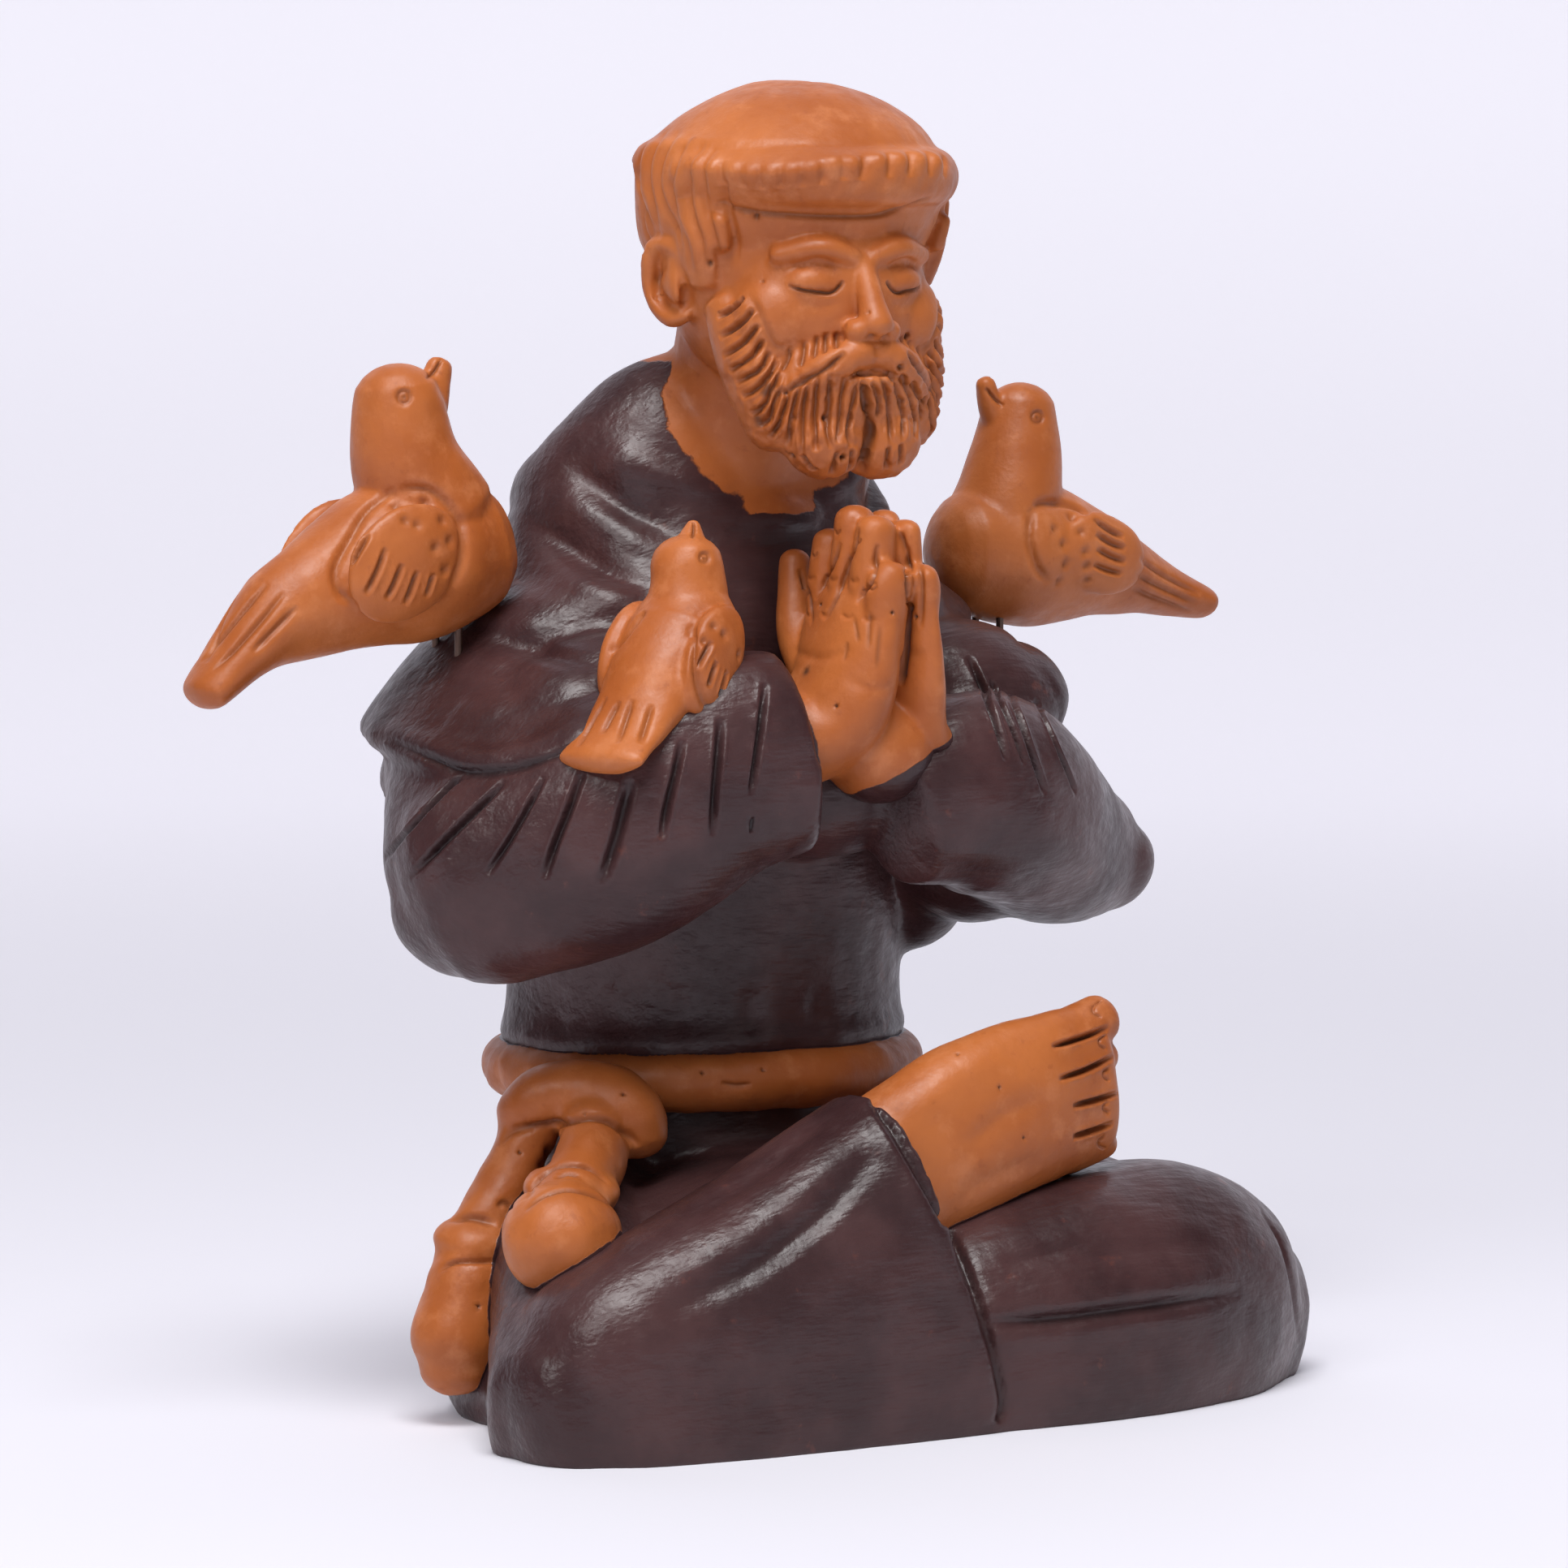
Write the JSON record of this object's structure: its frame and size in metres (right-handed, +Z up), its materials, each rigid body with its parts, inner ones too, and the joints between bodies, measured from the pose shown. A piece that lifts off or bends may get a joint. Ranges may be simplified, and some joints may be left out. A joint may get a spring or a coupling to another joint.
{
  "type": "statuette",
  "caption": "Hand-modelled fired clay statuette of a bearded friar seated cross-legged with joined hands, small birds standing on the shoulders and forearm.",
  "frame": {"origin": "on the underside, under the middle of the trunk", "axes": "+Z up, the friar faces -Y, the friar's left is +X"},
  "size_m": [0.2065, 0.1173, 0.2176],
  "materials": {
    "painted_clay": "gloss",
    "bare_clay": "satin",
    "wire": "satin"
  },
  "bodies": {
    "root": {"figure": "painted_clay", "bird_right_shoulder": "bare_clay", "bird_left_shoulder": "bare_clay", "bird_right_shoulder_leg_1": "wire", "bird_right_shoulder_leg_2": "wire", "bird_left_shoulder_leg_1": "wire", "bird_left_shoulder_leg_2": "wire"}
  },
  "joints": []
}
